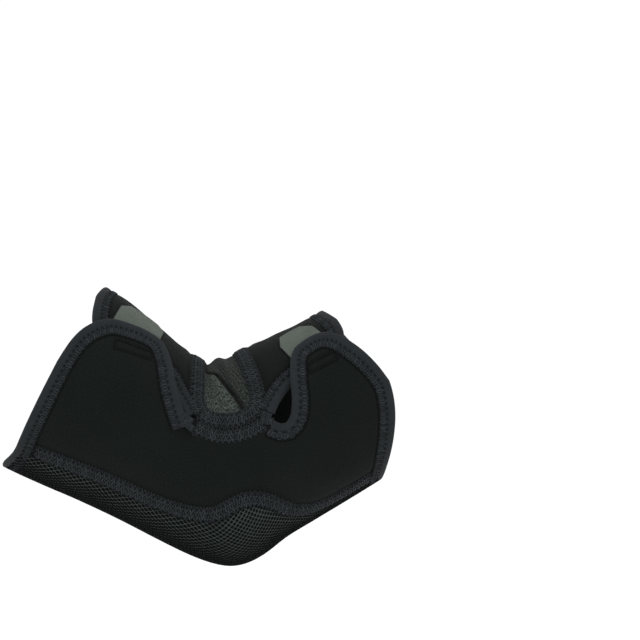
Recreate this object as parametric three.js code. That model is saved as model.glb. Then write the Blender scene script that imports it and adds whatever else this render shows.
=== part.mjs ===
// An elbow brace in the shape it has on a bent arm. Two foam-cloth panels wrap the arm and meet a
// mesh panel down the back. A folded knit panel fills the crook. The near panel's two front flaps
// overlap the far panel and are held to it by hook tabs. Cloth tape binds every free edge.
// Millimetres, +Z up. The arm lies in the XZ plane, upper arm to -X and forearm to +X, and the
// near side faces -Y. The origin is the elbow's centre, inside the brace.
import * as THREE from 'three';

// The arm inside the brace
const UPPER_LENGTH = 102;
const UPPER_TILT = 28.6;
const UPPER_DEPTH = 107.5;
const UPPER_WIDTH = 90;
const ELBOW_DEPTH = 105.5;
const ELBOW_WIDTH = 80;
const FORE_LENGTH = 81.5;
const FORE_TILT = 29.3;
const FORE_DEPTH = 92.5;
const FORE_WIDTH = 82;

// How far each cuff's edge reaches past its leg's length at the arm's two sides
const UPPER_REACH = 3;
const FORE_REACH = 21;

// Cloth and tape
const FOAM_WALL = 2.5;
const MESH_WALL = 2.5;
const KNIT_WALL = 1.4;
const TAPE_WALL = 0.5;
const TAB_WALL = 1;
const CLEARANCE = 0.4;
const BINDING_WIDTH = 6;
const SEAM_WALL = 0.9;
const BACK_SEAM_WIDTH = 9;
const CROOK_SEAM_WIDTH = 8;
const VALLEY_SEAM_WIDTH = 7.5;

// Hook tabs: their width along the flap's edge, how far they show past it and are sewn in under it
const UPPER_TAB_WIDTH = 28;
const UPPER_TAB_REACH = 21.5;
const FORE_TAB_WIDTH = 20;
const FORE_TAB_REACH = 16;
const TAB_SEWN = 1.5;
const TAB_CORNER = 5;

// The knit's folds stand this far out of the crook
const FOLD_RISE = 4.2;

// Triangle sizes
const FLAP_CELL = 8;
const PANEL_CELL = 10;
const KNIT_CELL = 5.5;
const EDGE_STEP = 6;
const BEND_STEP = 3.2;

// A point of the brace's pattern is (t, v). t is the share of the way along the arm: -1 at the
// upper cuff, 0 at the elbow, 1 at the forearm cuff. v goes round the arm in degrees from the front,
// and is positive on the near side.
const at = (t, v) => new THREE.Vector2(t, v);
const FULL_TURN = 360;

// Sections of the arm. rise is a share of the elbow's depth and lean a share of the leg's tilt,
// positive towards the upper arm's. depth and width are shares of the size that the leg has there.
// front and back are the powers of the two half ellipses: 2 is round, more is squarer.
const SECTIONS = [
  { t: -1.2, rise: 0, lean: 1.05, depth: 1.01, width: 1, front: 2.1, back: 2 },
  { t: -1, rise: 0, lean: 0.95, depth: 1, width: 1, front: 2.1, back: 2 },
  { t: -0.84, rise: 0.005, lean: 0.81, depth: 0.99, width: 1, front: 2.1, back: 2 },
  { t: -0.67, rise: 0, lean: 0.69, depth: 0.957, width: 1, front: 2.1, back: 2 },
  { t: -0.47, rise: -0.014, lean: 0.51, depth: 0.928, width: 1, front: 2.1, back: 2 },
  { t: -0.29, rise: -0.026, lean: 0.3, depth: 0.935, width: 1, front: 2.2, back: 1.95 },
  { t: -0.15, rise: -0.03, lean: 0.05, depth: 0.975, width: 1, front: 2.3, back: 1.85 },
  { t: -0.045, rise: -0.032, lean: -0.13, depth: 1, width: 1, front: 2.3, back: 1.8 },
  { t: 0.06, rise: -0.022, lean: -0.26, depth: 1.03, width: 1, front: 2.3, back: 1.8 },
  { t: 0.18, rise: -0.018, lean: -0.34, depth: 1.02, width: 1, front: 2.3, back: 1.85 },
  { t: 0.34, rise: 0, lean: -0.39, depth: 1.005, width: 1, front: 2.2, back: 1.95 },
  { t: 0.53, rise: -0.002, lean: -0.46, depth: 0.995, width: 1, front: 2.1, back: 2 },
  { t: 0.75, rise: -0.003, lean: -0.54, depth: 0.995, width: 1, front: 2.1, back: 2 },
  { t: 1, rise: 0, lean: -0.645, depth: 1, width: 1, front: 2.1, back: 2 },
  { t: 1.3, rise: 0, lean: -0.75, depth: 0.985, width: 1, front: 2.1, back: 2 },
];
const BEND_SHARE = 0.12; // the share of t over which one leg's axis turns into the other's

// Each panel leaves the cuff's edge at an angle, and its free edge runs on to the crook's corner.
const CORNERS = { nearUpper: 78, nearFore: 92, farUpper: 24, farFore: 32 };
const NEAR_UPPER_EDGE = [
  { t: -1, v: 66 }, { t: -0.95, v: 56.5 }, { t: -0.86, v: 47.5 }, { t: -0.74, v: 42 },
  { t: -0.63, v: 38 }, { t: -0.54, v: 36 }, { t: -0.475, v: 38 }, { t: -0.4, v: 45 },
  { t: -0.35, v: 53 }, { t: -0.295, v: 60 }, { t: -0.24, v: 66 }, { t: -0.2, v: 71.5 },
];
const NEAR_FORE_EDGE = [
  { t: 1.225, v: 80 }, { t: 1.175, v: 69.5 }, { t: 1.11, v: 60.5 }, { t: 1.05, v: 54 },
  { t: 0.97, v: 49 }, { t: 0.89, v: 47.5 }, { t: 0.8, v: 48 }, { t: 0.73, v: 49.5 },
  { t: 0.685, v: 55 }, { t: 0.65, v: 65 }, { t: 0.62, v: 74 }, { t: 0.58, v: 81.5 },
  { t: 0.53, v: 84.5 }, { t: 0.48, v: 83 }, { t: 0.44, v: 79.5 },
];
const FAR_UPPER_EDGE = [
  { t: -0.97, v: 37 }, { t: -0.93, v: 46.5 }, { t: -0.86, v: 56 }, { t: -0.7, v: 57.5 },
  { t: -0.56, v: 50 }, { t: -0.46, v: 45.5 }, { t: -0.38, v: 46 }, { t: -0.33, v: 49.5 },
  { t: -0.27, v: 55 }, { t: -0.24, v: 60 }, { t: -0.215, v: 64.5 }, { t: -0.196, v: 67.5 },
];
const FAR_FORE_EDGE = [
  { t: 1.085, v: 44 }, { t: 1.05, v: 54 }, { t: 0.97, v: 60 }, { t: 0.85, v: 61.5 },
  { t: 0.72, v: 61.5 }, { t: 0.63, v: 62.5 }, { t: 0.555, v: 66 }, { t: 0.49, v: 70.5 },
  { t: 0.437, v: 76 },
];
// Where a cuff's tape meets a flap's tape, and where the flaps' tapes stop near the crook, in t
const TAPE_JOINTS = { nearUpper: -0.88, nearFore: 0.97, farUpper: -0.93, farFore: 1.01 };
const TAPE_ENDS = { nearUpper: -0.21, farUpper: -0.42, farFore: 0.475 };

// The seam between the mesh panel and the near panel. The far one mirrors it.
const BACK_SEAM = [
  { t: -1.2, v: 134 }, { t: -0.94, v: 133.5 }, { t: -0.8, v: 132.5 }, { t: -0.65, v: 130.5 },
  { t: -0.5, v: 128.5 }, { t: -0.35, v: 127 }, { t: -0.2, v: 124 }, { t: -0.08, v: 120 },
  { t: 0.03, v: 115 }, { t: 0.12, v: 112.5 }, { t: 0.22, v: 116 }, { t: 0.33, v: 127.5 },
  { t: 0.42, v: 140 }, { t: 0.55, v: 150 }, { t: 0.75, v: 155 }, { t: 1.3, v: 155 },
];

// The knit's edge goes round the crook: up the upper arm's side, down the forearm's, and back
// along the near side.
const CROOK_SEAM = [
  { t: -0.095, v: 59.5 }, { t: -0.135, v: 53 }, { t: -0.145, v: 38 }, { t: -0.17, v: 18 },
  { t: -0.185, v: -6 }, { t: -0.17, v: -30 }, { t: -0.1, v: -49 }, { t: 0.05, v: -57 },
  { t: 0.21, v: -52 }, { t: 0.285, v: -34 }, { t: 0.285, v: -8 }, { t: 0.305, v: 16 },
  { t: 0.345, v: 40 }, { t: 0.368, v: 56 }, { t: 0.355, v: 65.5 }, { t: 0.29, v: 68.5 },
  { t: 0.13, v: 66 }, { t: 0, v: 62.5 }, { t: -0.095, v: 59.5 },
];
// The rows of that table, counted from 0 with a share between two, where a run along it starts or
// ends: the far panel's, the near panel's, and that of the seam on the near panel beside the crook
const CROOK_ROWS = {
  farFrom: 0.4, farTo: 13.2, nearFrom: 13.6, nearTo: 18, valleyFrom: 14.5, valleyTo: 17.7,
};

// The knit's soft folds: where each crest lies at the front and at the near side, and how wide and
// how high it is, as shares of t and of the folds' rise
const FOLDS = [
  { front: -0.075, side: 0.075, width: 0.07, height: 0.75 },
  { front: 0.08, side: 0.235, width: 0.055, height: 1 },
];
const FOLD_SIDE = 45; // degrees round from the front to the side column
const FOLD_FADE = { from: 5, to: 16 }; // mm in from the crook seam, where the folds die out

const rad = THREE.MathUtils.degToRad;
const smooth = (x, from, to) => THREE.MathUtils.smoothstep(x, from, to);

// The section at t, by cubic interpolation between the rows of the table
function sectionAt(t) {
  const last = SECTIONS.length - 2;
  const k = THREE.MathUtils.clamp(SECTIONS.findIndex((row) => row.t > t) - 1, 0, last);
  const k1 = SECTIONS[Math.max(k - 1, 0)];
  const [a, b] = [SECTIONS[k], SECTIONS[k + 1]];
  const k2 = SECTIONS[Math.min(k + 2, last + 1)];
  const step = b.t - a.t;
  const u = (t - a.t) / step;
  const row = {};
  for (const name of ['rise', 'lean', 'depth', 'width', 'front', 'back']) {
    const slopeA = ((b[name] - k1[name]) / (b.t - k1.t)) * step;
    const slopeB = ((k2[name] - a[name]) / (k2.t - a.t)) * step;
    row[name] = (2 * u ** 3 - 3 * u ** 2 + 1) * a[name] + (u ** 3 - 2 * u ** 2 + u) * slopeA
      + (3 * u ** 2 - 2 * u ** 3) * b[name] + (u ** 3 - u ** 2) * slopeB;
  }
  return row;
}

// A point of the skin, which is the brace's inner face
function skin(t, v) {
  const row = sectionAt(t);
  const root = Math.hypot(t, BEND_SHARE);
  const upper = (root - t) / 2;
  const fore = (root + t) / 2;
  const x = Math.cos(rad(FORE_TILT)) * FORE_LENGTH * fore - Math.cos(rad(UPPER_TILT)) * UPPER_LENGTH * upper;
  const z = Math.sin(rad(FORE_TILT)) * FORE_LENGTH * fore + Math.sin(rad(UPPER_TILT)) * UPPER_LENGTH * upper;
  const lean = rad(row.lean * (row.lean > 0 ? UPPER_TILT : FORE_TILT));
  const share = Math.abs(t);
  const legDepth = THREE.MathUtils.lerp(ELBOW_DEPTH, t < 0 ? UPPER_DEPTH : FORE_DEPTH, share);
  const legWidth = THREE.MathUtils.lerp(ELBOW_WIDTH, t < 0 ? UPPER_WIDTH : FORE_WIDTH, share);
  const [c, s] = [Math.cos(rad(v)), Math.sin(rad(v))];
  const power = c > 0 ? row.front : row.back;
  const round = (Math.abs(c) ** power + Math.abs(s) ** power) ** (-1 / power);
  const out = (legDepth * row.depth * round * c) / 2;
  const side = (legWidth * row.width * round * s) / 2;
  const rise = row.rise * ELBOW_DEPTH;
  return new THREE.Vector3(x + Math.sin(lean) * out, -side, z + rise + Math.cos(lean) * out);
}

// How the skin runs at a pattern point: its two slopes, per unit of t and per degree, and its normal
const NUDGE = { t: 1e-3, v: 0.1 };
function slopes({ x: t, y: v }) {
  const alongT = skin(t + NUDGE.t, v).sub(skin(t - NUDGE.t, v)).divideScalar(2 * NUDGE.t);
  const alongV = skin(t, v + NUDGE.v).sub(skin(t, v - NUDGE.v)).divideScalar(2 * NUDGE.v);
  const normal = new THREE.Vector3().crossVectors(alongV, alongT).normalize();
  return { alongT, alongV, normal };
}

// The place of a pattern point, lifted off the skin
const place = (p, lift) => skin(p.x, p.y).addScaledVector(slopes(p).normal, lift);

// The pattern point that lies beside p, across mm to the left of a path that runs along way
function beside(p, way, across) {
  const { alongT, alongV, normal } = slopes(p);
  const run = alongT.clone().multiplyScalar(way.x).addScaledVector(alongV, way.y).normalize();
  const left = new THREE.Vector3().crossVectors(normal, run).multiplyScalar(across);
  const [tt, tv, vv] = [alongT.dot(alongT), alongT.dot(alongV), alongV.dot(alongV)];
  const [lt, lv] = [left.dot(alongT), left.dot(alongV)];
  const whole = tt * vv - tv * tv;
  return at(p.x + (lt * vv - lv * tv) / whole, p.y + (lv * tt - lt * tv) / whole);
}

// Each point's way along the path
const ways = (path, closed) => path.map((p, i) => {
  const [next, back] = closed
    ? [path[(i + 1) % path.length], path[(i + path.length - 1) % path.length]]
    : [path[Math.min(i + 1, path.length - 1)], path[Math.max(i - 1, 0)]];
  return next.clone().sub(back);
});

// The path moved sideways, across mm to its left
const offset = (path, across, closed = false) => {
  const way = ways(path, closed);
  return path.map((p, i) => beside(p, way[i], across));
};

// How far along the path each of its points lies
function distances(path) {
  const lengths = [0];
  for (let i = 1; i < path.length; i += 1) {
    lengths.push(lengths[i - 1] + place(path[i], 0).distanceTo(place(path[i - 1], 0)));
  }
  return lengths;
}

// The path's points again, about a step apart, from a way past its start to a way short of its end.
// A closed path's last point is left out.
function evenly(path, step, { from = 0, to = 0, closed = false } = {}) {
  const lengths = distances(path);
  const length = lengths.at(-1) - from - to;
  const count = Math.max(1, Math.round(length / step));
  const points = [];
  for (let n = 0; n <= count; n += 1) {
    const goal = from + (length * n) / count;
    const k = THREE.MathUtils.clamp(lengths.findLastIndex((x) => x < goal), 0, path.length - 2);
    const share = (goal - lengths[k]) / (lengths[k + 1] - lengths[k]);
    points.push(path[k].clone().lerp(path[k + 1], share));
  }
  return closed ? points.slice(0, -1) : points;
}

// A smooth path of close points through a table's rows, or from one of its rows to another
const FINE = 240;
const fine = (rows, from = 0, to = rows.length - 1) => {
  const spline = new THREE.SplineCurve(rows.map((row) => at(row.t, row.v)));
  const share = 1 / (rows.length - 1);
  return Array.from({ length: FINE + 1 }, (_, i) => (
    spline.getPoint(THREE.MathUtils.lerp(from, to, i / FINE) * share)));
};

// Where the cuffs' edges lie at an angle, and their paths from one angle to another
const upperCuff = (v) => at(-1 - (UPPER_REACH / UPPER_LENGTH) * Math.sin(rad(v)) ** 2, v);
const foreCuff = (v) => at(1 + (FORE_REACH / FORE_LENGTH) * Math.sin(rad(v)) ** 2, v);
const roundCuff = (cuff, from, to) => Array.from({ length: FINE + 1 }, (_, i) => (
  cuff(THREE.MathUtils.lerp(from, to, i / FINE))));

// The near panel rides over the far panel, its tape and the hook tab at both front flaps. It comes
// down to the skin towards the crook, and round the arm's side.
const NEAR_RISE = FOAM_WALL + TAB_WALL + TAPE_WALL + 3 * CLEARANCE;
const RISES = [
  { down: -0.12, up: -0.42, front: 59, side: 89 },
  { down: 0.42, up: 0.62, front: 65, side: 95 },
];
const nearRise = (t, v) => {
  if (v > FULL_TURN / 2) return 0;
  return RISES.reduce((sum, { down, up, front, side }) => (
    sum + NEAR_RISE * smooth((t - down) / (up - down), 0, 1) * (1 - smooth(v, front, side))), 0);
};
const level = () => 0;

// A closed body from its corners and triangles, with its faces turned outwards
function body(corners, triangles) {
  const volume = triangles.reduce((sum, [a, b, c]) => (
    sum + corners[a].dot(new THREE.Vector3().crossVectors(corners[b], corners[c]))), 0);
  const faces = volume < 0 ? triangles.map(([a, b, c]) => [a, c, b]) : triangles;
  const geometry = new THREE.BufferGeometry().setFromPoints(corners);
  geometry.setIndex(faces.flat());
  geometry.computeVertexNormals();
  return geometry;
}

// The edges that only one of some triangles has, each as its two corners in order
function freeEdges(triangles) {
  const edges = new Map();
  for (const corners of triangles) {
    corners.forEach((a, i) => {
      const b = corners[(i + 1) % 3];
      if (!edges.delete(`${b} ${a}`)) edges.set(`${a} ${b}`, [a, b]);
    });
  }
  return [...edges.values()];
}

// Whether a flat point lies inside an outline
function inside(p, outline) {
  let within = false;
  outline.forEach((a, i) => {
    const b = outline[(i + 1) % outline.length];
    const crosses = (a.y > p.y) !== (b.y > p.y);
    if (crosses && p.x < ((b.x - a.x) * (p.y - a.y)) / (b.y - a.y) + a.x) within = !within;
  });
  return within;
}

// Triangles over flat points by Delaunay's rule, kept where they lie in the outline. Each point in
// turn takes the place of the triangles whose circles hold it.
const FAR_OFF = 1e5;
function triangulate(points, outline) {
  const n = points.length;
  const all = [...points, at(-FAR_OFF, -FAR_OFF), at(FAR_OFF, -FAR_OFF), at(0, FAR_OFF)];
  const withCircle = (corners) => {
    const [a, b, c] = corners.map((i) => all[i]);
    const ab = b.clone().sub(a);
    const ac = c.clone().sub(a);
    const [bb, cc] = [ab.lengthSq(), ac.lengthSq()];
    const centre = at(ac.y * bb - ab.y * cc, ab.x * cc - ac.x * bb).divideScalar(2 * ab.cross(ac));
    return { corners, reach: centre.lengthSq(), centre: centre.add(a) };
  };
  let found = [withCircle([n, n + 1, n + 2])];
  for (let k = 0; k < n; k += 1) {
    const hit = found.filter((tri) => tri.centre.distanceToSquared(all[k]) <= tri.reach);
    found = found.filter((tri) => !hit.includes(tri));
    for (const [a, b] of freeEdges(hit.map((tri) => tri.corners))) found.push(withCircle([a, b, k]));
  }
  const middle = (corners) => corners.reduce((sum, i) => sum.add(all[i]), at(0, 0)).divideScalar(3);
  return found.map((tri) => tri.corners)
    .filter((corners) => corners.every((i) => i < n) && inside(middle(corners), outline));
}

// A panel of cloth cut to an outline and laid on the arm, from one lift off the skin to another. Its
// inner points are a staggered grid of cells.
const DEGREES_PER_T = 100; // makes pattern distances about even both ways
const EDGE_CLEAR = 0.5; // how near a grid point may come to the outline, in cells
function panel(outline, cell, inner, outer) {
  const flat = outline.map((p) => at(p.x * DEGREES_PER_T, p.y));
  const box = new THREE.Box2().setFromPoints(flat);
  const ends = flat.map((p) => new THREE.Vector3(p.x, p.y, 0));
  const edges = ends.map((end, i) => new THREE.Line3(end, ends[(i + 1) % ends.length]));
  const nearest = new THREE.Vector3();
  const clear = (p) => edges.every((edge) => (
    edge.closestPointToPoint(p, true, nearest).distanceTo(p) > cell * EDGE_CLEAR));
  const points = [...flat];
  const rowStep = (cell * Math.sqrt(3)) / 2;
  for (let row = 0, y = box.min.y; y < box.max.y; row += 1, y += rowStep) {
    for (let x = box.min.x + (row % 2 ? cell / 2 : 0); x < box.max.x; x += cell) {
      if (inside(at(x, y), flat) && clear(new THREE.Vector3(x, y, 0))) points.push(at(x, y));
    }
  }
  const top = triangulate(points, flat);
  const n = points.length;
  const lifted = (lift) => points.map((p) => {
    const q = at(p.x / DEGREES_PER_T, p.y);
    return place(q, lift(q.x, q.y));
  });
  const under = top.map(([a, b, c]) => [a + n, c + n, b + n]);
  const walls = freeEdges(top).flatMap(([a, b]) => [[b, a, a + n], [b, a + n, b + n]]);
  return body([...lifted(outer), ...lifted(inner)], [...top, ...under, ...walls]);
}

// A strip that follows a path. Its section is a list of [across, lift] corners, across to the left.
function strip(path, section, rise = level, closed = false) {
  const way = ways(path, closed);
  const corners = path.flatMap((p, i) => section.map(([across, lift]) => {
    const q = beside(p, way[i], across);
    return place(q, rise(q.x, q.y) + lift);
  }));
  const m = section.length;
  const triangles = [];
  const rings = closed ? path.length : path.length - 1;
  for (let i = 0; i < rings; i += 1) {
    const j = (i + 1) % path.length;
    for (let k = 0; k < m; k += 1) {
      const l = (k + 1) % m;
      triangles.push([i * m + k, j * m + k, j * m + l], [i * m + k, j * m + l, i * m + l]);
    }
  }
  if (!closed) {
    const flat = section.map(([x, y]) => at(x, y));
    const end = (path.length - 1) * m;
    for (const [a, b, c] of THREE.ShapeUtils.triangulateShape(flat, [])) {
      const turned = THREE.ShapeUtils.area([flat[a], flat[b], flat[c]]) * THREE.ShapeUtils.area(flat) < 0;
      triangles.push(turned ? [a, c, b] : [a, b, c]);
      triangles.push(turned ? [end + a, end + b, end + c] : [end + a, end + c, end + b]);
    }
  }
  return body(corners, triangles);
}

// A tape folded over a panel's edge: the panel lies to the path's left, between lift 0 and its wall.
const NOSE = CLEARANCE + TAPE_WALL;
const binding = (wall) => [
  [BINDING_WIDTH, wall + CLEARANCE],
  [-CLEARANCE, wall + CLEARANCE],
  [-CLEARANCE, -CLEARANCE],
  [BINDING_WIDTH, -CLEARANCE],
  [BINDING_WIDTH, -NOSE],
  [-NOSE / 2, -NOSE],
  [-NOSE, wall / 2],
  [-NOSE / 2, wall + NOSE],
  [BINDING_WIDTH, wall + NOSE],
];

// A flat-locked seam that lies over the joint of two panels, half of its width to each side
const SEAM_SEAT = Math.max(FOAM_WALL, MESH_WALL) + CLEARANCE;
const SEAM_SLANT = 0.22; // how far a seam leans from square to the cuff's edge, as a share of its width
const SEAM_HOLLOW = 0.05; // its underside's arch, so that it follows the arm
const seam = (width) => [
  [-width / 2, SEAM_SEAT],
  [0, SEAM_SEAT + SEAM_HOLLOW],
  [width / 2, SEAM_SEAT],
  [width / 2, SEAM_SEAT + SEAM_WALL / 2],
  [width / 4, SEAM_SEAT + SEAM_WALL],
  [-width / 4, SEAM_SEAT + SEAM_WALL],
  [-width / 2, SEAM_SEAT + SEAM_WALL / 2],
];

const turned = (path) => [...path].reverse();
const wrapped = (path) => path.map((p) => at(p.x, p.y + FULL_TURN));
const before = (path, t) => path.filter((p) => p.x <= t);
const after = (path, t) => path.filter((p) => p.x >= t);

// A path that skips points which lie closer together than the clearance
const joined = (...paths) => paths.flat().filter((p, i, all) => (
  i === 0 || place(p, 0).distanceTo(place(all[i - 1], 0)) > CLEARANCE));

// The same path with its start drawn back, so that its tape stays clear of the next one's
const TAPE_GAP = 0.5;
const drawnBack = ([first, second, ...rest]) => {
  const share = TAPE_GAP / place(first, 0).distanceTo(place(second, 0));
  return [first.clone().lerp(second, share), second, ...rest];
};

// The back seam runs from cuff to cuff, and each cuff's edge meets it at an angle.
const seamRows = fine(BACK_SEAM).filter((p) => p.x > upperCuff(p.y).x && p.x < foreCuff(p.y).x);
const nearSeam = evenly(seamRows, EDGE_STEP);
const farSeam = nearSeam.map((p) => at(p.x, -p.y));
const upperTurn = nearSeam[0].y;
const foreTurn = nearSeam.at(-1).y;

// Every edge, as evenly spaced points that a panel's outline and the tape on it share
const cornerOf = (cuff, v) => ({ t: cuff(v).x, v });
const edge = {
  nearUpper: evenly(fine([cornerOf(upperCuff, CORNERS.nearUpper), ...NEAR_UPPER_EDGE]), BEND_STEP),
  nearFore: evenly(fine([cornerOf(foreCuff, CORNERS.nearFore), ...NEAR_FORE_EDGE]), BEND_STEP),
  farUpper: evenly(fine([cornerOf(upperCuff, CORNERS.farUpper), ...FAR_UPPER_EDGE]), BEND_STEP),
  farFore: evenly(fine([cornerOf(foreCuff, CORNERS.farFore), ...FAR_FORE_EDGE]), BEND_STEP),
  upperNear: evenly(roundCuff(upperCuff, CORNERS.nearUpper, upperTurn), EDGE_STEP),
  upperBack: evenly(roundCuff(upperCuff, upperTurn, FULL_TURN - upperTurn), EDGE_STEP),
  upperFar: evenly(roundCuff(upperCuff, -upperTurn, CORNERS.farUpper), EDGE_STEP),
  foreNear: evenly(roundCuff(foreCuff, CORNERS.nearFore, foreTurn), EDGE_STEP),
  foreBack: evenly(roundCuff(foreCuff, foreTurn, FULL_TURN - foreTurn), EDGE_STEP),
  foreFar: evenly(roundCuff(foreCuff, -foreTurn, CORNERS.farFore), EDGE_STEP),
};
const crook = evenly(fine(CROOK_SEAM), BEND_STEP, { closed: true });
const { farFrom, farTo, nearFrom, nearTo, valleyFrom, valleyTo } = CROOK_ROWS;
const crookFar = offset(evenly(fine(CROOK_SEAM, farFrom, farTo), BEND_STEP), CLEARANCE / 2);
const crookNear = offset(evenly(fine(CROOK_SEAM, nearFrom, nearTo), BEND_STEP), CLEARANCE / 2);

// The foam panels' outlines: along the upper cuff, down the upper flap, round the crook, out along
// the forearm's flap, along its cuff, and back by the seam. A straight cut joins flap and crook.
const cut = (from, to) => evenly([from, to], EDGE_STEP).slice(1, -1);
const nearOutline = joined(
  turned(edge.upperNear),
  edge.nearUpper,
  cut(edge.nearUpper.at(-1), crookNear.at(-1)),
  turned(crookNear),
  cut(crookNear[0], edge.nearFore.at(-1)),
  turned(edge.nearFore),
  edge.foreNear,
  turned(offset(nearSeam, CLEARANCE / 2)).slice(1, -1),
);
const farOutline = joined(
  edge.upperFar,
  edge.farUpper,
  cut(edge.farUpper.at(-1), crookFar[0]),
  crookFar,
  cut(crookFar.at(-1), edge.farFore.at(-1)),
  turned(edge.farFore),
  turned(edge.foreFar),
  turned(offset(farSeam, -CLEARANCE / 2)).slice(1, -1),
);
const seamGap = (cuffEdge) => cuffEdge.slice(1, -1);
const meshOutline = joined(
  offset(nearSeam, -CLEARANCE / 2),
  seamGap(edge.foreBack),
  turned(offset(wrapped(farSeam), CLEARANCE / 2)),
  turned(seamGap(edge.upperBack)),
);

// The knit stays in its seam's line and puffs up into folds that run over the crook's front.
const crookPlaces = crook.map((p) => place(p, 0));
const foldLift = (t, v) => {
  const here = skin(t, v);
  const inwards = Math.min(...crookPlaces.map((p) => p.distanceTo(here)));
  const side = Math.abs(v) / FOLD_SIDE;
  const height = Math.max(...FOLDS.map((fold) => {
    const crest = THREE.MathUtils.lerp(fold.front, fold.side, side);
    return fold.height * Math.exp(-(((t - crest) / fold.width) ** 2));
  }));
  return FOLD_RISE * height * smooth(inwards, FOLD_FADE.from, FOLD_FADE.to);
};

// A hook tab, sewn in under the near flap's edge about a point of it and laid on the far panel. Its
// outer corners are cut off.
const TAB_CELL = 8;
function tab(edgePath, middle, width, reach) {
  const lengths = distances(edgePath);
  const along = lengths[edgePath.findIndex((p) => (p.x - middle) * (edgePath[0].x - middle) <= 0)];
  const rest = lengths.at(-1) - along;
  const run = (half) => evenly(edgePath, BEND_STEP, { from: along - half, to: rest - half });
  const roundArm = (path, length) => path.map((p) => at(p.x, p.y + length / slopes(p).alongV.length()));
  const sewn = roundArm(run(width / 2), TAB_SEWN);
  const sides = roundArm(run(width / 2), TAB_CORNER - reach);
  const end = turned(roundArm(run(width / 2 - TAB_CORNER), -reach));
  const outline = joined(
    sewn,
    cut(sewn.at(-1), sides.at(-1)),
    [sides.at(-1)],
    end,
    [sides[0]],
    cut(sides[0], sewn[0]),
  );
  const seat = FOAM_WALL + CLEARANCE;
  return panel(outline, TAB_CELL, () => seat, () => seat + TAB_WALL);
}

const cloth = (color, roughness = 0.95) => (
  new THREE.MeshStandardMaterial({ color, roughness, metalness: 0 }));
const FOAM = cloth(0x181c1b);
const MESH = cloth(0x1c2020);
const KNIT = cloth(0x2e3330);
const TAPE = cloth(0x313537, 0.85);
const SEAM = cloth(0x222627);
const HOOK = cloth(0x5a615b, 0.8);

const brace = new THREE.Group();
const add = (name, geometry, material) => {
  const mesh = new THREE.Mesh(geometry, material);
  mesh.name = name;
  brace.add(mesh);
};

// The four panels
add('near_panel', panel(nearOutline, FLAP_CELL, nearRise, (t, v) => nearRise(t, v) + FOAM_WALL), FOAM);
add('far_panel', panel(farOutline, PANEL_CELL, level, () => FOAM_WALL), FOAM);
add('back_mesh', panel(meshOutline, PANEL_CELL, level, () => MESH_WALL), MESH);
add('crook_knit', panel(
  offset(crook, -CLEARANCE / 2, true), KNIT_CELL, foldLift, (t, v) => foldLift(t, v) + KNIT_WALL), KNIT);

// The seams over their joints, clear of the cuffs' tapes
const seamTrim = BINDING_WIDTH + TAPE_GAP + BACK_SEAM_WIDTH * SEAM_SLANT;
const seamEnds = { from: seamTrim, to: seamTrim };
add('near_back_seam', strip(evenly(nearSeam, EDGE_STEP, seamEnds), seam(BACK_SEAM_WIDTH)), SEAM);
add('far_back_seam', strip(evenly(farSeam, EDGE_STEP, seamEnds), seam(BACK_SEAM_WIDTH)), SEAM);
add('crook_border', strip(crook, seam(CROOK_SEAM_WIDTH), level, true), TAPE);
const valleyRun = evenly(fine(CROOK_SEAM, valleyFrom, valleyTo), BEND_STEP);
const valley = offset(valleyRun, (CROOK_SEAM_WIDTH + VALLEY_SEAM_WIDTH) / 2 + 2 * CLEARANCE);
add('valley_seam', strip(valley, seam(VALLEY_SEAM_WIDTH), nearRise), SEAM);

// The tapes on the free edges: round each cuff from flap to flap, and down each flap
const cuffWall = Math.max(FOAM_WALL, MESH_WALL);
add('upper_cuff_binding', strip(joined(
  turned(before(edge.nearUpper, TAPE_JOINTS.nearUpper)),
  edge.upperNear,
  edge.upperBack,
  wrapped(edge.upperFar),
  wrapped(before(edge.farUpper, TAPE_JOINTS.farUpper)),
), binding(cuffWall), nearRise), TAPE);
add('fore_cuff_binding', strip(joined(
  wrapped(turned(after(edge.farFore, TAPE_JOINTS.farFore))),
  wrapped(turned(edge.foreFar)),
  turned(edge.foreBack),
  turned(edge.foreNear),
  after(edge.nearFore, TAPE_JOINTS.nearFore),
), binding(cuffWall), nearRise), TAPE);
const between = (path, from, to) => drawnBack(before(after(path, from), to));
const nearUpperFlap = turned(between(edge.nearUpper, TAPE_JOINTS.nearUpper, TAPE_ENDS.nearUpper));
const nearForeFlap = drawnBack(before(edge.nearFore, TAPE_JOINTS.nearFore));
const farUpperFlap = between(edge.farUpper, TAPE_JOINTS.farUpper, TAPE_ENDS.farUpper);
const farForeFlap = turned(between(edge.farFore, TAPE_ENDS.farFore, TAPE_JOINTS.farFore));
add('near_upper_flap_binding', strip(nearUpperFlap, binding(FOAM_WALL), nearRise), TAPE);
add('near_fore_flap_binding', strip(nearForeFlap, binding(FOAM_WALL), nearRise), TAPE);
add('far_upper_flap_binding', strip(farUpperFlap, binding(FOAM_WALL)), TAPE);
add('far_fore_flap_binding', strip(farForeFlap, binding(FOAM_WALL)), TAPE);

// The hook tabs, about a point of the near flaps' edges
const TAB_MIDDLES = { upper: -0.68, fore: 0.835 };
add('upper_hook_tab', tab(nearUpperFlap, TAB_MIDDLES.upper, UPPER_TAB_WIDTH, UPPER_TAB_REACH), HOOK);
add('fore_hook_tab', tab(nearForeFlap, TAB_MIDDLES.fore, FORE_TAB_WIDTH, FORE_TAB_REACH), HOOK);

export default brace;
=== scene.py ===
import bisect
import functools
import math
import bmesh
import bpy
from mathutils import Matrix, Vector, kdtree

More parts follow.
